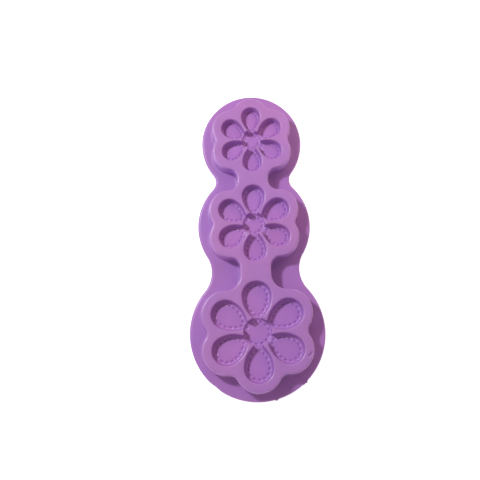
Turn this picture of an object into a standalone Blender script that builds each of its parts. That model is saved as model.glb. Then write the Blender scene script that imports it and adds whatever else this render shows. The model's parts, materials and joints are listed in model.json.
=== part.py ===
"""Three-cavity flower soap mould, cast in lilac silicone.

The casting lies flat, with its underside at z = 0 and its cavities open upwards. +Y runs from
the large flower to the small one. It is divided where it really flexes: three stiff flower pads
and the two thin waists between them, which bend when the mould is emptied.
"""
import math
from collections import namedtuple

import bmesh
import bpy
from mathutils import Matrix, Vector

MM = 0.001

# Heights above the underside.
FLANGE_TOP = 4.0 * MM
BLOCK_TOP = 13.5 * MM
PETAL_FLOOR = 8.9 * MM
DISC_FLOOR = 8.1 * MM

# Plan sizes that every flower shares.
BLOCK_WALL = 4.2 * MM        # block wall round each petal
VALLEY_RADIUS = 4.8 * MM     # hollow corner between two lobes of the block
TIP_RATIO = 0.294            # petal's tip radius, as a share of the flower's reach
FLANK_RATIO = 0.56           # radius of a petal's flanks, as a share of the reach
PETALS = 6
FIRST_PETAL = math.radians(30.0)

# Necks, the raised bars that join the blocks across the waists.
NECK_HALF_WIDTH = 7.4 * MM
NECK_SIDE_RADIUS = 400.0 * MM    # a neck's sides are all but straight
NECK_CORNER_LARGE = 7.5 * MM
NECK_CORNER = 4.8 * MM

# Waists, where the casting bends. A waist's centre is midway between the facing petals.
WIDE_WAIST_LENGTH = 6.6 * MM
NARROW_WAIST_LENGTH = 4.8 * MM
WIDE_WAIST_FILLET = 15.0 * MM
NARROW_WAIST_FILLET = 6.0 * MM
BEND_AXIS_HEIGHT = 5.2 * MM      # centre of area of a waist's cross-section
GAP = 0.3 * MM                   # clearance between neighbouring solids

CHORD_ERROR = 0.03 * MM
OVERCUT = 1.0 * MM
LILAC = (0.42, 0.19, 0.49, 1.0)
ROUGHNESS = 0.42

Flower = namedtuple("Flower", "name y reach disc_radius flange_radius")
LARGE_TO_MIDDLE = 53.6 * MM
MIDDLE_TO_SMALL = 42.6 * MM
LARGE_FLANGE = 33.4 * MM
SMALL_FLANGE = 25.0 * MM
LENGTH = LARGE_FLANGE + LARGE_TO_MIDDLE + MIDDLE_TO_SMALL + SMALL_FLANGE
LARGE_Y = LARGE_FLANGE - LENGTH / 2

LARGE = Flower("large", LARGE_Y, 25.0 * MM, 6.9 * MM, LARGE_FLANGE)
MIDDLE = Flower("middle", LARGE_Y + LARGE_TO_MIDDLE, 19.4 * MM, 5.4 * MM, 28.0 * MM)
SMALL = Flower("small", MIDDLE.y + MIDDLE_TO_SMALL, 16.6 * MM, 4.75 * MM, SMALL_FLANGE)


def waist_centre(lower, upper):
    """Y of the plane midway between the facing petal tips of two flowers."""
    return (lower.y + lower.reach + upper.y - upper.reach) / 2


WIDE_WAIST_Y = waist_centre(LARGE, MIDDLE)
NARROW_WAIST_Y = waist_centre(MIDDLE, SMALL)


def clear_scene():
    for item in list(bpy.data.objects):
        bpy.data.objects.remove(item, do_unlink=True)


def new_collection(name):
    collection = bpy.data.collections.new(name)
    bpy.context.scene.collection.children.link(collection)
    return collection


# ---- plan outlines ----

def arc(centre, radius, start, end):
    """Points along an arc, its two ends included."""
    step = 2 * math.acos(1 - CHORD_ERROR / radius)
    count = max(1, math.ceil(abs(end - start) / step))
    angles = [start + (end - start) * i / count for i in range(count + 1)]
    return [(centre[0] + radius * math.cos(a), centre[1] + radius * math.sin(a)) for a in angles]


def corner_centre(first, second, radius):
    """Centre of the hollow corner that touches two round lobes on their right-hand side."""
    (x1, y1, r1), (x2, y2, r2) = first, second
    span = math.hypot(x2 - x1, y2 - y1)
    along = (span ** 2 + (r1 + radius) ** 2 - (r2 + radius) ** 2) / (2 * span)
    aside = math.sqrt((r1 + radius) ** 2 - along ** 2)
    ux, uy = (x2 - x1) / span, (y2 - y1) / span
    return x1 + ux * along + uy * aside, y1 + uy * along - ux * aside


def bearing(origin, target):
    return math.atan2(target[1] - origin[1], target[0] - origin[0])


def scalloped_outline(lobes, corners):
    """Closed outline round lobes (x, y, radius), counter-clockwise, with hollow corners between."""
    count = len(lobes)
    centres = [corner_centre(lobes[i], lobes[(i + 1) % count], corners[i]) for i in range(count)]
    outline = []
    for i, lobe in enumerate(lobes):
        start = bearing(lobe, centres[i - 1])
        end = bearing(lobe, centres[i])
        end += 2 * math.pi * (end < start)
        outline += arc(lobe, lobe[2], start, end)[1:]
        following = lobes[(i + 1) % count]
        start = bearing(centres[i], lobe)
        end = bearing(centres[i], following)
        end -= 2 * math.pi * (end > start)
        outline += arc(centres[i], corners[i], start, end)[1:]
    return outline


def flange_outline():
    lobes = [(0.0, f.y, f.flange_radius) for f in (LARGE, MIDDLE, SMALL, MIDDLE)]
    corners = [WIDE_WAIST_FILLET, NARROW_WAIST_FILLET, NARROW_WAIST_FILLET, WIDE_WAIST_FILLET]
    return scalloped_outline(lobes, corners)


def petal_angle(number):
    return FIRST_PETAL + 2 * math.pi * number / PETALS


def block_lobe(flower, number):
    """Round lobe of the block that follows one petal's tip at a constant wall."""
    tip_radius = TIP_RATIO * flower.reach
    centre = flower.reach - tip_radius
    angle = petal_angle(number)
    return centre * math.cos(angle), flower.y + centre * math.sin(angle), tip_radius + BLOCK_WALL


def neck_side(waist_y, side):
    return side * (NECK_HALF_WIDTH - NECK_SIDE_RADIUS), waist_y, NECK_SIDE_RADIUS


def block_outline():
    """Lobes in order, up the right-hand side and down the left, each with the corner after it."""
    steps = [
        (block_lobe(LARGE, 4), VALLEY_RADIUS),
        (block_lobe(LARGE, 5), VALLEY_RADIUS),
        (block_lobe(LARGE, 0), NECK_CORNER_LARGE),
        (neck_side(WIDE_WAIST_Y, 1), NECK_CORNER),
        (block_lobe(MIDDLE, 5), VALLEY_RADIUS),
        (block_lobe(MIDDLE, 0), NECK_CORNER),
        (neck_side(NARROW_WAIST_Y, 1), NECK_CORNER),
        (block_lobe(SMALL, 5), VALLEY_RADIUS),
        (block_lobe(SMALL, 0), VALLEY_RADIUS),
        (block_lobe(SMALL, 1), VALLEY_RADIUS),
        (block_lobe(SMALL, 2), VALLEY_RADIUS),
        (block_lobe(SMALL, 3), NECK_CORNER),
        (neck_side(NARROW_WAIST_Y, -1), NECK_CORNER),
        (block_lobe(MIDDLE, 2), VALLEY_RADIUS),
        (block_lobe(MIDDLE, 3), NECK_CORNER),
        (neck_side(WIDE_WAIST_Y, -1), NECK_CORNER_LARGE),
        (block_lobe(LARGE, 2), VALLEY_RADIUS),
        (block_lobe(LARGE, 3), VALLEY_RADIUS),
    ]
    return scalloped_outline([lobe for lobe, _ in steps], [corner for _, corner in steps])


def petal_outline(flower):
    """One petal pointing along +X, its narrow end cut off inside the flower's disc."""
    tip_radius = TIP_RATIO * flower.reach
    flank_radius = FLANK_RATIO * flower.reach
    widest = flower.reach - tip_radius
    offset = flank_radius - tip_radius
    inner = 0.9 * flower.disc_radius
    sweep = math.asin((widest - inner) / flank_radius)
    upper = arc((widest, -offset), flank_radius, math.pi / 2, math.pi / 2 + sweep)
    lower = arc((widest, offset), flank_radius, -math.pi / 2 - sweep, -math.pi / 2)
    tip = arc((widest, 0.0), tip_radius, -math.pi / 2, math.pi / 2)
    return lower[:-1] + tip + upper[1:]


# ---- solids ----

def extruded(name, outline, bottom, top, collection):
    """Closed mesh object standing on a flat outline, made as a filled 2D curve."""
    curve = bpy.data.curves.new(name, "CURVE")
    curve.dimensions = "2D"
    curve.fill_mode = "BOTH"
    curve.extrude = (top - bottom) / 2
    spline = curve.splines.new("POLY")
    spline.points.add(len(outline) - 1)
    for point, (x, y) in zip(spline.points, outline):
        point.co = (x, y, 0.0, 1.0)
    spline.use_cyclic_u = True
    source = bpy.data.objects.new(name + "_outline", curve)
    source.location.z = (top + bottom) / 2
    bpy.context.scene.collection.objects.link(source)
    bpy.context.view_layer.update()
    evaluated = source.evaluated_get(bpy.context.evaluated_depsgraph_get())
    solid = bpy.data.objects.new(name, bpy.data.meshes.new_from_object(evaluated))
    solid.matrix_world = source.matrix_world
    collection.objects.link(solid)
    weld(solid)
    bpy.data.objects.remove(source, do_unlink=True)
    return solid


def weld(item):
    """Joins a filled curve's caps to its sides."""
    mesh = bmesh.new()
    mesh.from_mesh(item.data)
    bmesh.ops.remove_doubles(mesh, verts=mesh.verts, dist=0.000001)
    bmesh.ops.recalc_face_normals(mesh, faces=mesh.faces)
    mesh.to_mesh(item.data)
    mesh.free()


def make_cutter(item):
    item.hide_render = True
    item.display_type = "WIRE"
    return item


def slab_cutter(name, y_low, y_high, collection):
    """Box across the whole casting between two planes of constant Y."""
    bpy.ops.mesh.primitive_cube_add(size=1.0)
    box = bpy.context.object
    box.name = name
    width = 2 * LARGE_FLANGE + 2 * OVERCUT
    height = BLOCK_TOP + 2 * OVERCUT
    box.data.transform(Matrix.Diagonal((width, y_high - y_low, height, 1.0)))
    box.location = (0.0, (y_low + y_high) / 2, BLOCK_TOP / 2)
    move_to(box, collection)
    return make_cutter(box)


def move_to(item, collection):
    for owner in list(item.users_collection):
        owner.objects.unlink(item)
    collection.objects.link(item)


def flower_cutters(flower, collection):
    """Six petals and the deeper round disc that they open into."""
    top = BLOCK_TOP + OVERCUT
    cutters = []
    for number in range(PETALS):
        name = f"{flower.name}_petal_{number + 1}_cutter"
        petal = extruded(name, petal_outline(flower), PETAL_FLOOR, top, collection)
        petal.location.y = flower.y
        petal.rotation_euler.z = petal_angle(number)
        cutters.append(make_cutter(petal))
    rim = arc((0.0, 0.0), flower.disc_radius, 0.0, 2 * math.pi)[:-1]
    disc = extruded(flower.name + "_disc_cutter", rim, DISC_FLOOR, top, collection)
    disc.location.y = flower.y
    cutters.append(make_cutter(disc))
    return cutters


def add_boolean(item, operation, other):
    modifier = item.modifiers.new(other.name, "BOOLEAN")
    modifier.operation = operation
    modifier.object = other


def casting(cutters):
    """The whole uncut casting: the lobed block standing in the flange."""
    flange = extruded("casting", flange_outline(), 0.0, FLANGE_TOP, cutters)
    block = extruded("block", block_outline(), FLANGE_TOP / 2, BLOCK_TOP, cutters)
    add_boolean(flange, "UNION", make_cutter(block))
    return make_cutter(flange)


def silicone(name):
    material = bpy.data.materials.new(name)
    material.use_nodes = True
    shader = material.node_tree.nodes["Principled BSDF"]
    shader.inputs["Base Color"].default_value = LILAC
    shader.inputs["Roughness"].default_value = ROUGHNESS
    shader.inputs["Metallic"].default_value = 0.0
    return material


def section(name, whole, y_low, y_high, pivot, parts, cutters, hollows=()):
    """One length of the casting, with its origin at its pivot and its hollows cut out."""
    mesh = whole.data.copy()
    mesh.transform(whole.matrix_world)
    mesh.transform(Matrix.Translation(-pivot))
    item = bpy.data.objects.new(name, mesh)
    item.location = pivot
    parts.objects.link(item)
    for modifier in whole.modifiers:
        add_boolean(item, modifier.operation, modifier.object)
    add_boolean(item, "INTERSECT", slab_cutter(name + "_slab", y_low, y_high, cutters))
    for hollow in hollows:
        add_boolean(item, "DIFFERENCE", hollow)
    item.data.materials.append(silicone(name))
    return item


def main():
    clear_scene()
    parts = new_collection("flower_soap_mould")
    cutters = new_collection("cutters")
    whole = casting(cutters)

    wide = (WIDE_WAIST_Y - WIDE_WAIST_LENGTH / 2, WIDE_WAIST_Y + WIDE_WAIST_LENGTH / 2)
    narrow = (NARROW_WAIST_Y - NARROW_WAIST_LENGTH / 2, NARROW_WAIST_Y + NARROW_WAIST_LENGTH / 2)
    ends = LENGTH / 2 + OVERCUT
    half_gap = GAP / 2
    wide_pivot = Vector((0.0, WIDE_WAIST_Y, BEND_AXIS_HEIGHT))
    narrow_pivot = Vector((0.0, NARROW_WAIST_Y, BEND_AXIS_HEIGHT))
    middle = Vector((0.0, MIDDLE.y, 0.0))

    pads = (
        (LARGE, -ends, wide[0] - half_gap, wide_pivot),
        (MIDDLE, wide[1] + half_gap, narrow[0] - half_gap, middle),
        (SMALL, narrow[1] + half_gap, ends, narrow_pivot),
    )
    for flower, low, high, pivot in pads:
        hollows = flower_cutters(flower, cutters)
        section(flower.name + "_flower_pad", whole, low, high, pivot, parts, cutters, hollows)

    waists = (("wide_waist", wide, wide_pivot), ("narrow_waist", narrow, narrow_pivot))
    for name, (low, high), pivot in waists:
        section(name, whole, low + half_gap, high - half_gap, pivot, parts, cutters)

    bpy.data.objects.remove(whole, do_unlink=True)


main()
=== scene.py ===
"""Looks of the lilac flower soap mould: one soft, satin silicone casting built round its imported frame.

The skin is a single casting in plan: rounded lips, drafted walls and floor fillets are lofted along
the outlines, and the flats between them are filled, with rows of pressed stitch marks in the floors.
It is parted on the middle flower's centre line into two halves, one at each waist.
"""

import json
import math
from collections import namedtuple
from functools import partial

import bmesh
import bpy
import numpy as np
from mathutils import Euler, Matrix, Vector, noise
from mathutils.geometry import delaunay_2d_cdt


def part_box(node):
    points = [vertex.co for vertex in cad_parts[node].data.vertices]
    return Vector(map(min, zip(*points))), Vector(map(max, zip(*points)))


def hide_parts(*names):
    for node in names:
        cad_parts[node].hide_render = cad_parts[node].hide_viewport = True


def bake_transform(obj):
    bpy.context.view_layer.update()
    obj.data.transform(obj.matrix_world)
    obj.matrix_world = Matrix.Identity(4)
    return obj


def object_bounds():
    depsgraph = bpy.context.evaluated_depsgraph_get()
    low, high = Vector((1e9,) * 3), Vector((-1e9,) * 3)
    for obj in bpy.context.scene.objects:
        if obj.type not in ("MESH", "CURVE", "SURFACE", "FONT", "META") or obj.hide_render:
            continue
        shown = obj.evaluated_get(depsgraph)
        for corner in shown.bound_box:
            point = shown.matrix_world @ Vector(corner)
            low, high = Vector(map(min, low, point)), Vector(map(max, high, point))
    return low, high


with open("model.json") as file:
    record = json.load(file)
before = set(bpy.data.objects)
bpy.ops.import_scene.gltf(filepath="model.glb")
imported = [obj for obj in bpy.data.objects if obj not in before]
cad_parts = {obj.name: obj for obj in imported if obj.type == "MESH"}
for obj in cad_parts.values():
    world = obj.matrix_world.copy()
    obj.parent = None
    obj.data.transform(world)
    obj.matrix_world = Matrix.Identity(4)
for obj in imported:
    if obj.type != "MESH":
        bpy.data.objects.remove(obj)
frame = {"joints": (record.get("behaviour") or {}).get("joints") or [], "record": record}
cad_low, cad_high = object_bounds()

MM = 0.001

# ---- looks, in metres and degrees ----

REST = "rest_place"          # each vertex's place before the casting bends, so textures stay put
LILAC_WARM = (0.482, 0.201, 0.594, 1.0)
LILAC_COOL = (0.450, 0.196, 0.612, 1.0)
TINTS = (                    # share of the way from the flange's top to the block's top, tint; the darker tint low down on the flange is painted shade
    (0.0, (0.915, 0.925, 0.900, 1.0)),
    (0.3, (0.984, 0.985, 0.965, 1.0)),
    (0.9, (0.984, 0.985, 0.965, 1.0)),
    (1.0, (0.943, 0.953, 0.895, 1.0)),
)
GLOSS = (                    # share of the same way, coat weight: the cavities' floors are dull
    (0.0, 0.5),
    (0.3, 0.12),
    (0.85, 0.12),
    (1.0, 0.8),
)
CLOUD_SIZE = 0.030           # size of each texture's patches
MOTTLE_SIZE = 0.006
ROUGHNESS_SIZE = 0.004
GRAIN_SIZE = 0.0009
GRAIN_HEIGHT = 0.0001

Light = namedtuple("Light", "name azimuth elevation distance size power color")
LIGHTS = (                   # azimuth 0 is +X, 90 is +Y
    Light("key", 147, 55, 0.55, 0.055, 1.76, (0.92, 0.96, 0.98)),
    Light("left_fill", 185, 35, 0.22, 0.12, 0.025, (0.0, 0.7, 1.0)),
    Light("right_fill", 50, 42, 0.19, 0.12, 0.075, (1.0, 0.75, 0.65)),
    Light("front_fill", -95, 35, 0.35, 0.2, 0.06, (0.8, 1.0, 0.9)),
)
SKY_COLOR = (1.0, 0.85, 0.82, 1.0)
SKY_STRENGTH = 0.38
TABLE_WIDTH = 3.0
TABLE_DROP = 0.0002          # below the mould's underside
TABLE_GLOW = 0.75
CAMERA_PLACE = (-0.00514, -0.08698, 0.495)
CAMERA_TURN = (10.370, 0.564, -1.757)
CAMERA_LENS = 75

# ---- sizes, in millimetres up to the finished mesh ----

FLANGE_TOP = 4.0
BLOCK_TOP = cad_high.z / MM
PETAL_FLOOR = 8.9
DISC_FLOOR = 8.1

BLOCK_WALL = 4.2
VALLEY_RADIUS = 4.8
TIP_RATIO = 0.294
FLANK_RATIO = 0.56
WEDGE_CORNER = 0.35          # rounding of the wedges of wall between two petals, at the disc
PETALS = 6
FIRST_PETAL = math.radians(30.0)
NECK_HALF_WIDTH = 7.4
NECK_SIDE_RADIUS = 400.0
NECK_CORNER_LARGE = 7.5
NECK_CORNER = 4.8
WIDE_WAIST_FILLET = 15.0
NARROW_WAIST_FILLET = 6.0

# Edges. An offset is measured across an outline, and is positive on its outer side.
BLOCK_LIP = ((-0.65, 0.0), (0.1, 0.6))          # offset and drop at each end of the rounding
BLOCK_FOOT = ((0.35, 0.7), (1.0, 0.0))          # offset and rise at each end of the fillet
FLANGE_LIP = ((-1.0, 0.0), (0.0, 0.9))
FLANGE_UNDER = ((0.0, 0.4), (-0.4, 0.0))
CAVITY_LIP_END = (-0.25, 0.6)                   # its start is each flower's own
CAVITY_FOOT = ((-0.8, 0.4), (-1.15, 0.0))
DISC_STEP = (-0.6, 0.05)                        # foot and head of the disc's step
DISC_STEEPNESS = 0.4         # share of the offsets that is left on the wedges' ends
DISC_BLEND = (0.3, 2.3)      # distance from the disc's edge over which the offsets grow to full

# Stitch marks pressed into the floors.
DASH_SHARE = 0.5             # length, as a share of the pitch
DASH_WIDTH = 0.55
DASH_DEPTH = 0.32
DASH_RINGS = ((1.0, 0.0), (0.8, 0.35), (0.55, 0.85), (0.2, 1.0))    # size, share of the depth
DASH_SIDES = 12
DISC_ROW_INSET = 1.35
MOUTH_CLEARANCE = 0.6        # from the disc's edge to the stitches across a petal's mouth

# Flaws of the large flange's rim: degrees round it, growth, and half-width in degrees.
RIM_FLAWS = ((-46.6, 0.65, 1.0), (-49.0, 0.3, 1.2), (-75.6, 0.6, 1.1), (-130.0, -0.35, 4.0))
RIM_WIDTH = 1.6

UNEVENNESS = 0.14            # of the whole casting's surface
HEIGHT_WAVE = 23.0           # lengths of its waves
PLAN_WAVE = 31.0

Mark = namedtuple("Mark", "half_length half_width depth")
NICK = Mark(1.2, 0.4, 0.45)  # in the top face, near the large flower's lower right lip
NICK_PLACE = (25.0, -55.5)
NICK_ANGLE = math.radians(48.0)

# How fine the mesh is.
SPACING = 0.45               # between points along an outline, or on a tight arc
SPACING_SHARE = 0.35         # this share of the arc's radius
TOP_GRID = 1.2
FLOOR_GRID = 0.8
UNDERSIDE_GRID = 3.0
GRID_CLEARANCE = 0.62        # a grid's distance from all else, as a share of its step
RINGS_ON_STEP = 6
RING_SPACING = 0.35
RING_CLEARANCE = 0.12        # from the foot of the cavity's wall
MARK_CLEARANCE = 0.2         # from the rings to the stitch marks

Flower = namedtuple("Flower", "name y reach disc_radius flange_radius lip stitch_inset stitch_pitch")


def flower(name, reach, disc_radius, **details):
    """A flower's centre comes from its disc's opening, and its flange from its pad's width."""
    openings = {o["name"]: o["box_m"] for o in frame["record"]["physics"]["openings"]}
    low, high = openings[name + "_disc"]
    pad_low, pad_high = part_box(name + "_flower_pad")
    flange_radius = (pad_high.x - pad_low.x) / 2 / MM
    centre_y = (low[1] + high[1]) / 2 / MM
    return Flower(name, centre_y, reach, disc_radius, flange_radius, **details)


LARGE = flower("large", 25.0, 6.9, lip=0.5, stitch_inset=2.1, stitch_pitch=2.6)
MIDDLE = flower("middle", 19.4, 5.4, lip=0.4, stitch_inset=1.75, stitch_pitch=2.25)
SMALL = flower("small", 16.6, 4.75, lip=0.3, stitch_inset=1.45, stitch_pitch=1.95)


def hinge_y(name):
    joint = next(j for j in frame["joints"] if j["name"] == name)
    return joint["pos_m"][1] / MM


WIDE_WAIST_Y = hinge_y("wide_waist_bend")
NARROW_WAIST_Y = hinge_y("narrow_waist_bend")


# ---- outlines: chains of arcs, each sampled as points with outward normals ----

def sample_arc(centre, radius, start, end):
    """Rows of x, y, outward x, outward y. An arc that runs clockwise is a hollow one."""
    count = max(2, math.ceil(abs(end - start) * radius / min(SPACING, SPACING_SHARE * radius)))
    angles = start + (end - start) * np.arange(count) / count
    ray = np.stack([np.cos(angles), np.sin(angles)], axis=1)
    side = 1.0 if end > start else -1.0
    return np.hstack([np.array(centre[:2]) + radius * ray, side * ray])


def corner_centre(first, second, radius):
    """Centre of the hollow corner that touches two round lobes on their right-hand side."""
    (x1, y1, r1), (x2, y2, r2) = first, second
    span = math.hypot(x2 - x1, y2 - y1)
    along = (span ** 2 + (r1 + radius) ** 2 - (r2 + radius) ** 2) / (2 * span)
    aside = math.sqrt((r1 + radius) ** 2 - along ** 2)
    ux, uy = (x2 - x1) / span, (y2 - y1) / span
    return x1 + ux * along + uy * aside, y1 + uy * along - ux * aside


def bearing(origin, target):
    return math.atan2(target[1] - origin[1], target[0] - origin[0])


def scalloped_outline(lobes, corners):
    count = len(lobes)
    centres = [corner_centre(lobes[i], lobes[(i + 1) % count], corners[i]) for i in range(count)]
    arcs = []
    for i, lobe in enumerate(lobes):
        start, end = bearing(lobe, centres[i - 1]), bearing(lobe, centres[i])
        arcs.append(sample_arc(lobe, lobe[2], start, end + 2 * math.pi * (end < start)))
        start, end = bearing(centres[i], lobe), bearing(centres[i], lobes[(i + 1) % count])
        arcs.append(sample_arc(centres[i], corners[i], start, end - 2 * math.pi * (end > start)))
    return np.vstack(arcs)


def flange_outline():
    lobes = [(0.0, f.y, f.flange_radius) for f in (LARGE, MIDDLE, SMALL, MIDDLE)]
    corners = [WIDE_WAIST_FILLET, NARROW_WAIST_FILLET, NARROW_WAIST_FILLET, WIDE_WAIST_FILLET]
    return scalloped_outline(lobes, corners)


def petal_angle(number):
    return FIRST_PETAL + 2 * math.pi * number / PETALS


def block_lobe(f, number):
    tip_radius = TIP_RATIO * f.reach
    centre = f.reach - tip_radius
    angle = petal_angle(number)
    return centre * math.cos(angle), f.y + centre * math.sin(angle), tip_radius + BLOCK_WALL


def neck_side(waist_y, side):
    return side * (NECK_HALF_WIDTH - NECK_SIDE_RADIUS), waist_y, NECK_SIDE_RADIUS


def block_outline():
    steps = [
        (block_lobe(LARGE, 4), VALLEY_RADIUS),
        (block_lobe(LARGE, 5), VALLEY_RADIUS),
        (block_lobe(LARGE, 0), NECK_CORNER_LARGE),
        (neck_side(WIDE_WAIST_Y, 1), NECK_CORNER),
        (block_lobe(MIDDLE, 5), VALLEY_RADIUS),
        (block_lobe(MIDDLE, 0), NECK_CORNER),
        (neck_side(NARROW_WAIST_Y, 1), NECK_CORNER),
        (block_lobe(SMALL, 5), VALLEY_RADIUS),
        (block_lobe(SMALL, 0), VALLEY_RADIUS),
        (block_lobe(SMALL, 1), VALLEY_RADIUS),
        (block_lobe(SMALL, 2), VALLEY_RADIUS),
        (block_lobe(SMALL, 3), NECK_CORNER),
        (neck_side(NARROW_WAIST_Y, -1), NECK_CORNER),
        (block_lobe(MIDDLE, 2), VALLEY_RADIUS),
        (block_lobe(MIDDLE, 3), NECK_CORNER),
        (neck_side(WIDE_WAIST_Y, -1), NECK_CORNER_LARGE),
        (block_lobe(LARGE, 2), VALLEY_RADIUS),
        (block_lobe(LARGE, 3), VALLEY_RADIUS),
    ]
    return scalloped_outline([lobe for lobe, _ in steps], [corner for _, corner in steps])


def turned(point, angle):
    c, s = math.cos(angle), math.sin(angle)
    return c * point[0] - s * point[1], s * point[0] + c * point[1]


def cavity_outline(f):
    """Six petals that open into the disc, with the wedges of wall between them rounded off."""
    tip_radius = TIP_RATIO * f.reach
    flank_radius = FLANK_RATIO * f.reach
    widest = f.reach - tip_radius
    aside = flank_radius - tip_radius
    wedge = 2 * math.pi / PETALS
    quarter = math.pi / 2
    corner = corner_centre((widest, -aside, flank_radius), (0, 0, f.disc_radius), WEDGE_CORNER)
    next_corner = turned((corner[0], -corner[1]), wedge)
    mouth = bearing((widest, -aside), corner)
    rim = bearing((0, 0), corner)
    one_petal = [
        ((widest, aside), flank_radius, -mouth, -quarter),
        ((widest, 0), tip_radius, -quarter, quarter),
        ((widest, -aside), flank_radius, quarter, mouth),
        (corner, WEDGE_CORNER, mouth - math.pi, rim - math.pi),
        ((0, 0), f.disc_radius, rim, wedge - rim),
        (next_corner, WEDGE_CORNER, wedge - rim - math.pi, wedge - mouth - math.pi),
    ]
    arcs = []
    for number in range(PETALS):
        turn = petal_angle(number)
        for centre, radius, start, end in one_petal:
            x, y = turned(centre, turn)
            arcs.append(sample_arc((x, y + f.y), radius, start + turn, end + turn))
    return np.vstack(arcs)


# ---- the skin: lofted walls and filled flats ----

def quarter_round(start, end, steps, bulging):
    """Points from start to end along a quarter ellipse; level at the start if it bulges."""
    points = []
    for i in range(steps + 1):
        turn = math.pi / 2 * i / steps
        across, down = (math.sin(turn), 1 - math.cos(turn)) if bulging else (
            1 - math.cos(turn), math.sin(turn))
        points.append((start[0] + (end[0] - start[0]) * across,
                       start[1] + (end[1] - start[1]) * down))
    return points


def straight(start, end, steps):
    a, b = np.array(start), np.array(end)
    return [tuple(a + (b - a) * i / steps) for i in range(1, steps)]


def inside(points, loop):
    """Which points lie inside a closed loop."""
    x, y = points[:, 0][:, None], points[:, 1][:, None]
    x1, y1 = loop[:, 0], loop[:, 1]
    x2, y2 = np.roll(x1, -1), np.roll(y1, -1)
    spans = (y1 > y) != (y2 > y)
    with np.errstate(divide="ignore", invalid="ignore"):
        crossing = x1 + (y - y1) * (x2 - x1) / (y2 - y1)
    return (np.sum(spans & (x < crossing), axis=1) % 2).astype(bool)


def hex_grid(loop, step):
    low, high = loop.min(axis=0), loop.max(axis=0)
    rows = np.arange(low[1], high[1], step * math.sqrt(3) / 2)
    points = [np.stack([np.arange(low[0] + step / 2 * (i % 2), high[0], step),
                        np.full(len(np.arange(low[0] + step / 2 * (i % 2), high[0], step)), y)],
                       axis=1) for i, y in enumerate(rows)]
    return np.vstack(points)


def thinned(grid, features, clearance):
    """The grid points that keep clear of every feature point."""
    cells = {}
    for point in features:
        cells.setdefault((int(point[0] // clearance), int(point[1] // clearance)), []).append(point)
    kept = []
    for point in grid:
        i, j = int(point[0] // clearance), int(point[1] // clearance)
        near = [q for di in (-1, 0, 1) for dj in (-1, 0, 1) for q in cells.get((i + di, j + dj), ())]
        if not any((point[0] - q[0]) ** 2 + (point[1] - q[1]) ** 2 < clearance ** 2 for q in near):
            kept.append(point)
    return np.array(kept).reshape(-1, 2)


def level_height(height, points):
    return np.full(len(points), height)


class Skin:
    """Vertices and faces of the casting, in millimetres."""

    def __init__(self):
        self.vertices = []
        self.faces = []

    def add(self, points, heights):
        first = len(self.vertices)
        heights = np.broadcast_to(heights, (len(points),))
        self.vertices += [(p[0], p[1], z) for p, z in zip(points, heights)]
        return list(range(first, len(self.vertices)))

    def wall(self, outline, profile):
        """Lofts a profile of (offset, height) along an outline; returns its first and last loops."""
        loops = [self.add(outline[:, :2] + d * outline[:, 2:], z) for d, z in profile]
        count = len(outline)
        for upper, lower in zip(loops, loops[1:]):
            for i in range(count):
                j = (i + 1) % count
                self.faces.append((upper[i], upper[j], lower[j], lower[i]))
        return loops[0], loops[-1]

    def plan(self, loop):
        return np.array([self.vertices[i][:2] for i in loop])

    def fill(self, outer, holes, step, height, details=()):
        """Fills a flat between loops. details are (points, heights) groups set into it."""
        border = self.plan(outer)
        hollows = [self.plan(hole) for hole in holes]
        edges = [(i, (i + 1) % len(border)) for i in range(len(border))]
        indices = list(outer)
        for hole in holes:
            first = len(indices)
            edges += [(first + i, first + (i + 1) % len(hole)) for i in range(len(hole))]
            indices += hole
        for points, heights in details:
            indices += self.add(points, heights)
        features = self.plan(indices)
        grid = hex_grid(border, step)
        grid = grid[inside(grid, border)]
        for hollow in hollows:
            grid = grid[~inside(grid, hollow)]
        grid = thinned(grid, features, GRID_CLEARANCE * step)
        indices += self.add(grid, height(grid))
        plan = [Vector(p) for p in self.plan(indices)]
        _, _, triangles, sources, _, _ = delaunay_2d_cdt(plan, edges, [], 0, 1e-6, True)
        back = [indices[s[0]] for s in sources]
        triangles = np.array([[back[i] for i in t] for t in triangles])
        middles = np.array(self.vertices)[triangles][:, :, :2].mean(axis=1)
        keep = inside(middles, border)
        for hollow in hollows:
            keep &= ~inside(middles, hollow)
        self.faces += [tuple(t) for t in triangles[keep]]


# ---- cavity floors ----

def floor_height(f, points):
    """Petal floors outside the disc's step, the deeper disc inside it, an S-curve between."""
    reach = np.hypot(points[:, 0], points[:, 1] - f.y)
    foot, head = DISC_STEP
    share = np.clip((reach - f.disc_radius - foot) / (head - foot), 0, 1)
    return DISC_FLOOR + (PETAL_FLOOR - DISC_FLOOR) * (share * share * (3 - 2 * share))


def cavity_wall(skin, f):
    """A flower's rounded lip, drafted wall and foot, down to whichever floor is below it."""
    outline = cavity_outline(f)
    beyond = np.hypot(outline[:, 0], outline[:, 1] - f.y) - f.disc_radius
    share = np.clip((beyond - DISC_BLEND[0]) / (DISC_BLEND[1] - DISC_BLEND[0]), 0, 1)
    outline[:, 2:] *= DISC_STEEPNESS + (1 - DISC_STEEPNESS) * share[:, None]
    floor = floor_height(f, outline[:, :2] + CAVITY_FOOT[1][0] * outline[:, 2:])
    lip = [(d, BLOCK_TOP - drop)
           for d, drop in quarter_round((f.lip, 0.0), CAVITY_LIP_END, 5, True)]
    foot = [(d, floor + rise) for d, rise in quarter_round(*CAVITY_FOOT, 4, False)]
    (start, high), (end, low) = lip[-1], foot[0]
    draft = [(start + (end - start) * t, high + (low - high) * t) for t in (0.2, 0.4, 0.6, 0.8)]
    return skin.wall(outline, lip + draft + foot)


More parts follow.
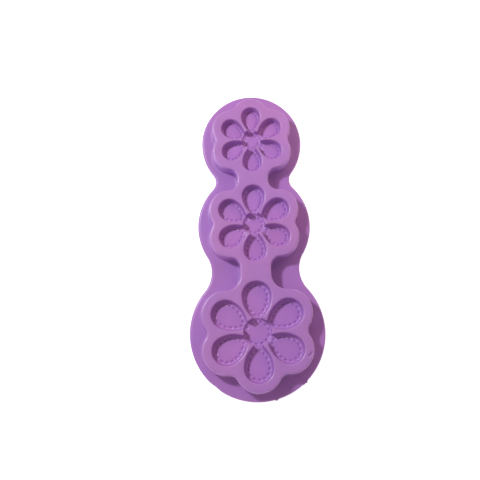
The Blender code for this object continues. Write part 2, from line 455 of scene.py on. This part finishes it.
def step_rings(f, border):
    """Rings of points down the disc's step, across the petals' mouths."""
    rings = []
    for offset in np.linspace(*DISC_STEP, RINGS_ON_STEP):
        radius = f.disc_radius + offset
        count = int(2 * math.pi * radius / RING_SPACING)
        angles = 2 * math.pi * np.arange(count) / count
        rings.append(np.stack([radius * np.cos(angles), f.y + radius * np.sin(angles)], axis=1))
    points = np.vstack(rings)
    points = points[inside(points, border)]
    return thinned(points, border, RING_CLEARANCE)


def stitch_marks(f, path):
    """Dashes pressed into the floor along a closed path of points."""
    steps = np.linalg.norm(np.roll(path, -1, axis=0) - path, axis=1)
    travelled = np.concatenate([[0], np.cumsum(steps)])
    count = round(travelled[-1] / f.stitch_pitch)
    closed = np.vstack([path, path[:1]])
    spots = (np.arange(count) + 0.5) * travelled[-1] / count
    x = np.interp(spots, travelled, closed[:, 0])
    y = np.interp(spots, travelled, closed[:, 1])
    ahead_x = np.interp(spots + 0.1, travelled, closed[:, 0])
    ahead_y = np.interp(spots + 0.1, travelled, closed[:, 1])
    scale = math.sqrt(f.reach / LARGE.reach)
    half_length = DASH_SHARE * f.stitch_pitch / 2
    dash = Mark(half_length, DASH_WIDTH / 2 * scale, DASH_DEPTH * scale)
    marks = []
    for cx, cy, angle in zip(x, y, np.arctan2(ahead_y - y, ahead_x - x)):
        marks += pressed_mark(dash, (cx, cy), angle, partial(floor_height, f))
    return marks


def pressed_mark(mark, centre, angle, height):
    """One pressed mark with round ends, as nested rings of points and their heights."""
    groups = []
    straight_half = mark.half_length - mark.half_width
    for size, share in DASH_RINGS:
        ring = []
        for i in range(DASH_SIDES):
            turn = 2 * math.pi * (i + 0.5) / DASH_SIDES
            across = size * mark.half_width * math.sin(turn)
            bulge = size * mark.half_width * math.cos(turn)
            along = math.copysign(straight_half, bulge) + bulge
            ring.append(turned((along, across), angle))
        points = np.array(ring) + centre
        groups.append((points, height(points) - share * mark.depth))
    return groups


def petal_stitch_path(f, number):
    """The row of stitches inside one petal: its outline drawn in, closed near the disc."""
    inset = f.stitch_inset
    tip_radius = TIP_RATIO * f.reach
    flank_radius = FLANK_RATIO * f.reach
    widest = f.reach - tip_radius
    aside = flank_radius - tip_radius
    reach_in = math.asin((widest - f.disc_radius - MOUTH_CLEARANCE) / (flank_radius - inset))
    closing = math.acos((DASH_WIDTH / 2 + aside) / (flank_radius - inset))
    sweep = min(reach_in, closing)
    quarter = math.pi / 2
    rows = np.vstack([
        sample_arc((widest, aside), flank_radius - inset, -quarter - sweep, -quarter),
        sample_arc((widest, 0), tip_radius - inset, -quarter, quarter),
        sample_arc((widest, -aside), flank_radius - inset, quarter, quarter + sweep),
    ])
    turn = petal_angle(number)
    c, s = math.cos(turn), math.sin(turn)
    return rows[:, :2] @ np.array([[c, s], [-s, c]]) + (0, f.y)


def floor_details(f, border):
    """Points that shape a cavity's floor: its stitch marks and the step round its disc."""
    marks = []
    for number in range(PETALS):
        marks += stitch_marks(f, petal_stitch_path(f, number))
    path = sample_arc((0, f.y), f.disc_radius - DISC_ROW_INSET, 0, 2 * math.pi)[:, :2]
    marks += stitch_marks(f, path)
    marked = np.vstack([points for points, _ in marks])
    rings = thinned(step_rings(f, border), marked, MARK_CLEARANCE)
    return marks + [(rings, floor_height(f, rings))]


# ---- the whole casting ----

def rim_growth(x, y):
    """How far a point near the large flange's rim has grown outward, in flash or in a flat."""
    share = 1 - (LARGE.flange_radius - math.hypot(x, y - LARGE.y)) / RIM_WIDTH
    if share <= 0:
        return 0.0
    angle = math.degrees(math.atan2(y - LARGE.y, x))
    return share * sum(growth * math.exp(-((angle - at) / width) ** 2)
                       for at, growth, width in RIM_FLAWS)


def settled(x, y, z):
    """A poured casting's slight unevenness, with the flaws of the large flange's rim."""
    grown = 1 + rim_growth(x, y) / LARGE.flange_radius
    x, y = x * grown, LARGE.y + (y - LARGE.y) * grown
    level = min(z / FLANGE_TOP, 1)
    wave = noise.noise(Vector((x / HEIGHT_WAVE, y / HEIGHT_WAVE, 0.3)))
    sway = [noise.noise(Vector((x / PLAN_WAVE, y / PLAN_WAVE, layer))) for layer in (7.1, 3.7)]
    z -= level * UNEVENNESS / 2 * (1 + wave)
    x -= level * UNEVENNESS * sway[0] * (1 - abs(x) / cad_high.x * MM)
    y -= level * UNEVENNESS * sway[1] * (1 - abs(y) / cad_high.y * MM)
    return x, y, z


def build_skin():
    skin = Skin()
    lip = [(d, BLOCK_TOP - drop) for d, drop in quarter_round(*BLOCK_LIP, 6, True)]
    foot = [(d, FLANGE_TOP + rise) for d, rise in quarter_round(*BLOCK_FOOT, 5, False)]
    block_top, block_foot = skin.wall(block_outline(), lip + straight(lip[-1], foot[0], 8) + foot)

    lip = [(d, FLANGE_TOP - drop) for d, drop in quarter_round(*FLANGE_LIP, 6, True)]
    foot = quarter_round(*FLANGE_UNDER, 3, False)
    edge = straight(lip[-1], foot[0], 4)
    flange_top, flange_under = skin.wall(flange_outline(), lip + edge + foot)

    lips = []
    for f in (LARGE, MIDDLE, SMALL):
        mouth, floor = cavity_wall(skin, f)
        lips.append(mouth)
        details = floor_details(f, skin.plan(floor))
        skin.fill(floor, [], FLOOR_GRID, partial(floor_height, f), details)

    top = partial(level_height, BLOCK_TOP)
    skin.fill(block_top, lips, TOP_GRID, top, pressed_mark(NICK, NICK_PLACE, NICK_ANGLE, top))
    skin.fill(flange_top, [block_foot], TOP_GRID, partial(level_height, FLANGE_TOP))
    skin.fill(flange_under, [], UNDERSIDE_GRID, partial(level_height, 0.0))
    return skin


def casting_mesh(skin):
    mesh = bmesh.new()
    for point in skin.vertices:
        x, y, z = settled(*point)
        mesh.verts.new((x * MM, y * MM, z * MM))
    mesh.verts.ensure_lookup_table()
    for face in skin.faces:
        mesh.faces.new([mesh.verts[i] for i in face])
    loose = [vertex for vertex in mesh.verts if not vertex.link_faces]
    bmesh.ops.delete(mesh, geom=loose, context="VERTS")
    bmesh.ops.recalc_face_normals(mesh, faces=mesh.faces)
    return mesh


def half_of(mesh, name, beyond):
    """The part of the casting on one side of the middle flower's centre line, closed there."""
    part = mesh.copy()
    cut = bmesh.ops.bisect_plane(
        part, geom=part.verts[:] + part.edges[:] + part.faces[:], dist=1e-7,
        plane_co=(0, MIDDLE.y * MM, 0), plane_no=(0, 1, 0),
        clear_outer=not beyond, clear_inner=beyond)
    rim = [e for e in cut["geom_cut"] if isinstance(e, bmesh.types.BMEdge)]
    bmesh.ops.holes_fill(part, edges=rim, sides=0)
    bmesh.ops.recalc_face_normals(part, faces=part.faces)
    for face in part.faces:
        face.smooth = True
    for edge in rim:
        edge.smooth = False
    data = bpy.data.meshes.new(name)
    part.to_mesh(data)
    part.free()
    rest = data.attributes.new(REST, "FLOAT_VECTOR", "POINT")
    rest.data.foreach_set("vector", [c for vertex in data.vertices for c in vertex.co])
    item = bpy.data.objects.new(name, data)
    bpy.context.scene.collection.objects.link(item)
    return item


# ---- material ----

class Nodes:
    """A small helper that adds and links a material's nodes."""

    def __init__(self, material):
        material.use_nodes = True
        self.tree = material.node_tree
        self.shader = self.tree.nodes["Principled BSDF"]
        self.place = self.add("ShaderNodeAttribute", attribute_name=REST).outputs["Vector"]

    def add(self, kind, **values):
        node = self.tree.nodes.new(kind)
        for name, value in values.items():
            setattr(node, name, value)
        return node

    def link(self, source, target):
        self.tree.links.new(source, target)

    def noise(self, size, detail=2.0, roughness=0.5):
        node = self.add("ShaderNodeTexNoise")
        self.link(self.place, node.inputs["Vector"])
        node.inputs["Scale"].default_value = 1.0 / size
        node.inputs["Detail"].default_value = detail
        node.inputs["Roughness"].default_value = roughness
        return node.outputs["Fac"]

    def height(self):
        """0 at the flange's top, 1 at the block's top."""
        split = self.add("ShaderNodeSeparateXYZ")
        self.link(self.place, split.inputs["Vector"])
        scale = self.add("ShaderNodeMapRange")
        self.link(split.outputs["Z"], scale.inputs["Value"])
        scale.inputs["From Min"].default_value = FLANGE_TOP * MM
        scale.inputs["From Max"].default_value = (BLOCK_TOP - UNEVENNESS) * MM
        return scale.outputs["Result"]

    def ramp(self, source, *stops):
        node = self.add("ShaderNodeValToRGB")
        self.link(source, node.inputs["Fac"])
        elements = node.color_ramp.elements
        while len(elements) < len(stops):
            elements.new(0.5)
        for element, (position, color) in zip(elements, stops):
            element.position = position
            element.color = color
        return node.outputs["Color"]

    def mix(self, kind, factor, first, second):
        node = self.add("ShaderNodeMix", data_type="RGBA", blend_type=kind)
        for socket, value in ((node.inputs["Factor"], factor), (node.inputs["A"], first),
                              (node.inputs["B"], second)):
            if isinstance(value, bpy.types.NodeSocket):
                self.link(value, socket)
            else:
                socket.default_value = value
        return node.outputs["Result"]


def gray(value):
    return value, value, value, 1.0


def silicone():
    material = bpy.data.materials.new("lilac_silicone")
    nodes = Nodes(material)
    shader = nodes.shader
    shader.inputs["Metallic"].default_value = 0.0
    shader.inputs["IOR"].default_value = 1.41
    shader.inputs["Specular IOR Level"].default_value = 0.45

    clouds = nodes.ramp(nodes.noise(CLOUD_SIZE, 2.0), (0.38, LILAC_WARM), (0.62, LILAC_COOL))
    mottle = nodes.ramp(nodes.noise(MOTTLE_SIZE, 3.0), (0.3, gray(0.94)), (0.7, gray(1.0)))
    color = nodes.mix("MULTIPLY", 1.0, clouds, mottle)
    # the tint by height paints shade: the flange's top is coloured darker than the faces above it
    color = nodes.mix("MULTIPLY", 1.0, color, nodes.ramp(nodes.height(), *TINTS))
    nodes.link(color, shader.inputs["Base Color"])

    roughness = nodes.ramp(nodes.noise(ROUGHNESS_SIZE, 4.0), (0.3, gray(0.34)), (0.7, gray(0.44)))
    nodes.link(roughness, shader.inputs["Roughness"])
    gloss = nodes.ramp(nodes.height(), *((height, gray(weight)) for height, weight in GLOSS))
    nodes.link(gloss, shader.inputs["Coat Weight"])
    shader.inputs["Coat Roughness"].default_value = 0.29
    shader.inputs["Coat IOR"].default_value = 1.41

    bump = nodes.add("ShaderNodeBump")
    bump.inputs["Strength"].default_value = 0.12
    bump.inputs["Distance"].default_value = GRAIN_HEIGHT
    nodes.link(nodes.noise(GRAIN_SIZE, 3.0, 0.6), bump.inputs["Height"])
    nodes.link(bump.outputs["Normal"], shader.inputs["Normal"])
    return material


# ---- surroundings ----

def pale_floor():
    bpy.ops.mesh.primitive_plane_add(size=TABLE_WIDTH, location=(0, 0, -TABLE_DROP))
    floor = bpy.context.object
    floor.name = "floor"
    material = bpy.data.materials.new("pale_floor")
    nodes = Nodes(material)
    nodes.shader.inputs["Base Color"].default_value = gray(0.9)
    nodes.shader.inputs["Roughness"].default_value = 0.9
    nodes.shader.inputs["Emission Color"].default_value = gray(1.0)
    nodes.shader.inputs["Emission Strength"].default_value = TABLE_GLOW
    floor.data.materials.append(material)
    return floor


def area_light(light):
    """A square softbox aimed at the middle of the mould."""
    data = bpy.data.lights.new(light.name, "AREA")
    data.shape = "SQUARE"
    data.size = light.size
    data.energy = light.power
    data.color = light.color
    lamp = bpy.data.objects.new(light.name, data)
    a, e = math.radians(light.azimuth), math.radians(light.elevation)
    away = Vector((math.cos(a) * math.cos(e), math.sin(a) * math.cos(e), math.sin(e)))
    lamp.location = away * light.distance
    lamp.rotation_euler = (-away).to_track_quat("-Z", "Y").to_euler()
    bpy.context.scene.collection.objects.link(lamp)


def lights():
    for light in LIGHTS:
        area_light(light)
    world = bpy.data.worlds.new("studio")
    bpy.context.scene.world = world
    world.use_nodes = True
    background = world.node_tree.nodes["Background"]
    background.inputs["Color"].default_value = SKY_COLOR
    background.inputs["Strength"].default_value = SKY_STRENGTH


def camera():
    data = bpy.data.cameras.new("camera")
    data.lens = CAMERA_LENS
    data.sensor_width = 36
    data.clip_start = 0.01
    item = bpy.data.objects.new("camera", data)
    item.location = CAMERA_PLACE
    item.rotation_euler = Euler([math.radians(turn) for turn in CAMERA_TURN], "XYZ")
    bpy.context.scene.collection.objects.link(item)
    bpy.context.scene.camera = item


def bend_at(item):
    """Bakes the half's placement into its mesh."""
    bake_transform(item)


def main():
    bpy.context.scene.view_settings.view_transform = "Standard"
    camera()
    lights()
    pale_floor()
    material = silicone()
    whole = casting_mesh(build_skin())
    large_half = half_of(whole, "casting_large_half", beyond=False)
    small_half = half_of(whole, "casting_small_half", beyond=True)
    whole.free()
    for half in (large_half, small_half):
        half.data.materials.append(material)
    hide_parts("large_flower_pad", "wide_waist", "middle_flower_pad")
    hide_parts("narrow_waist", "small_flower_pad")
    bend_at(large_half)
    bend_at(small_half)


main()
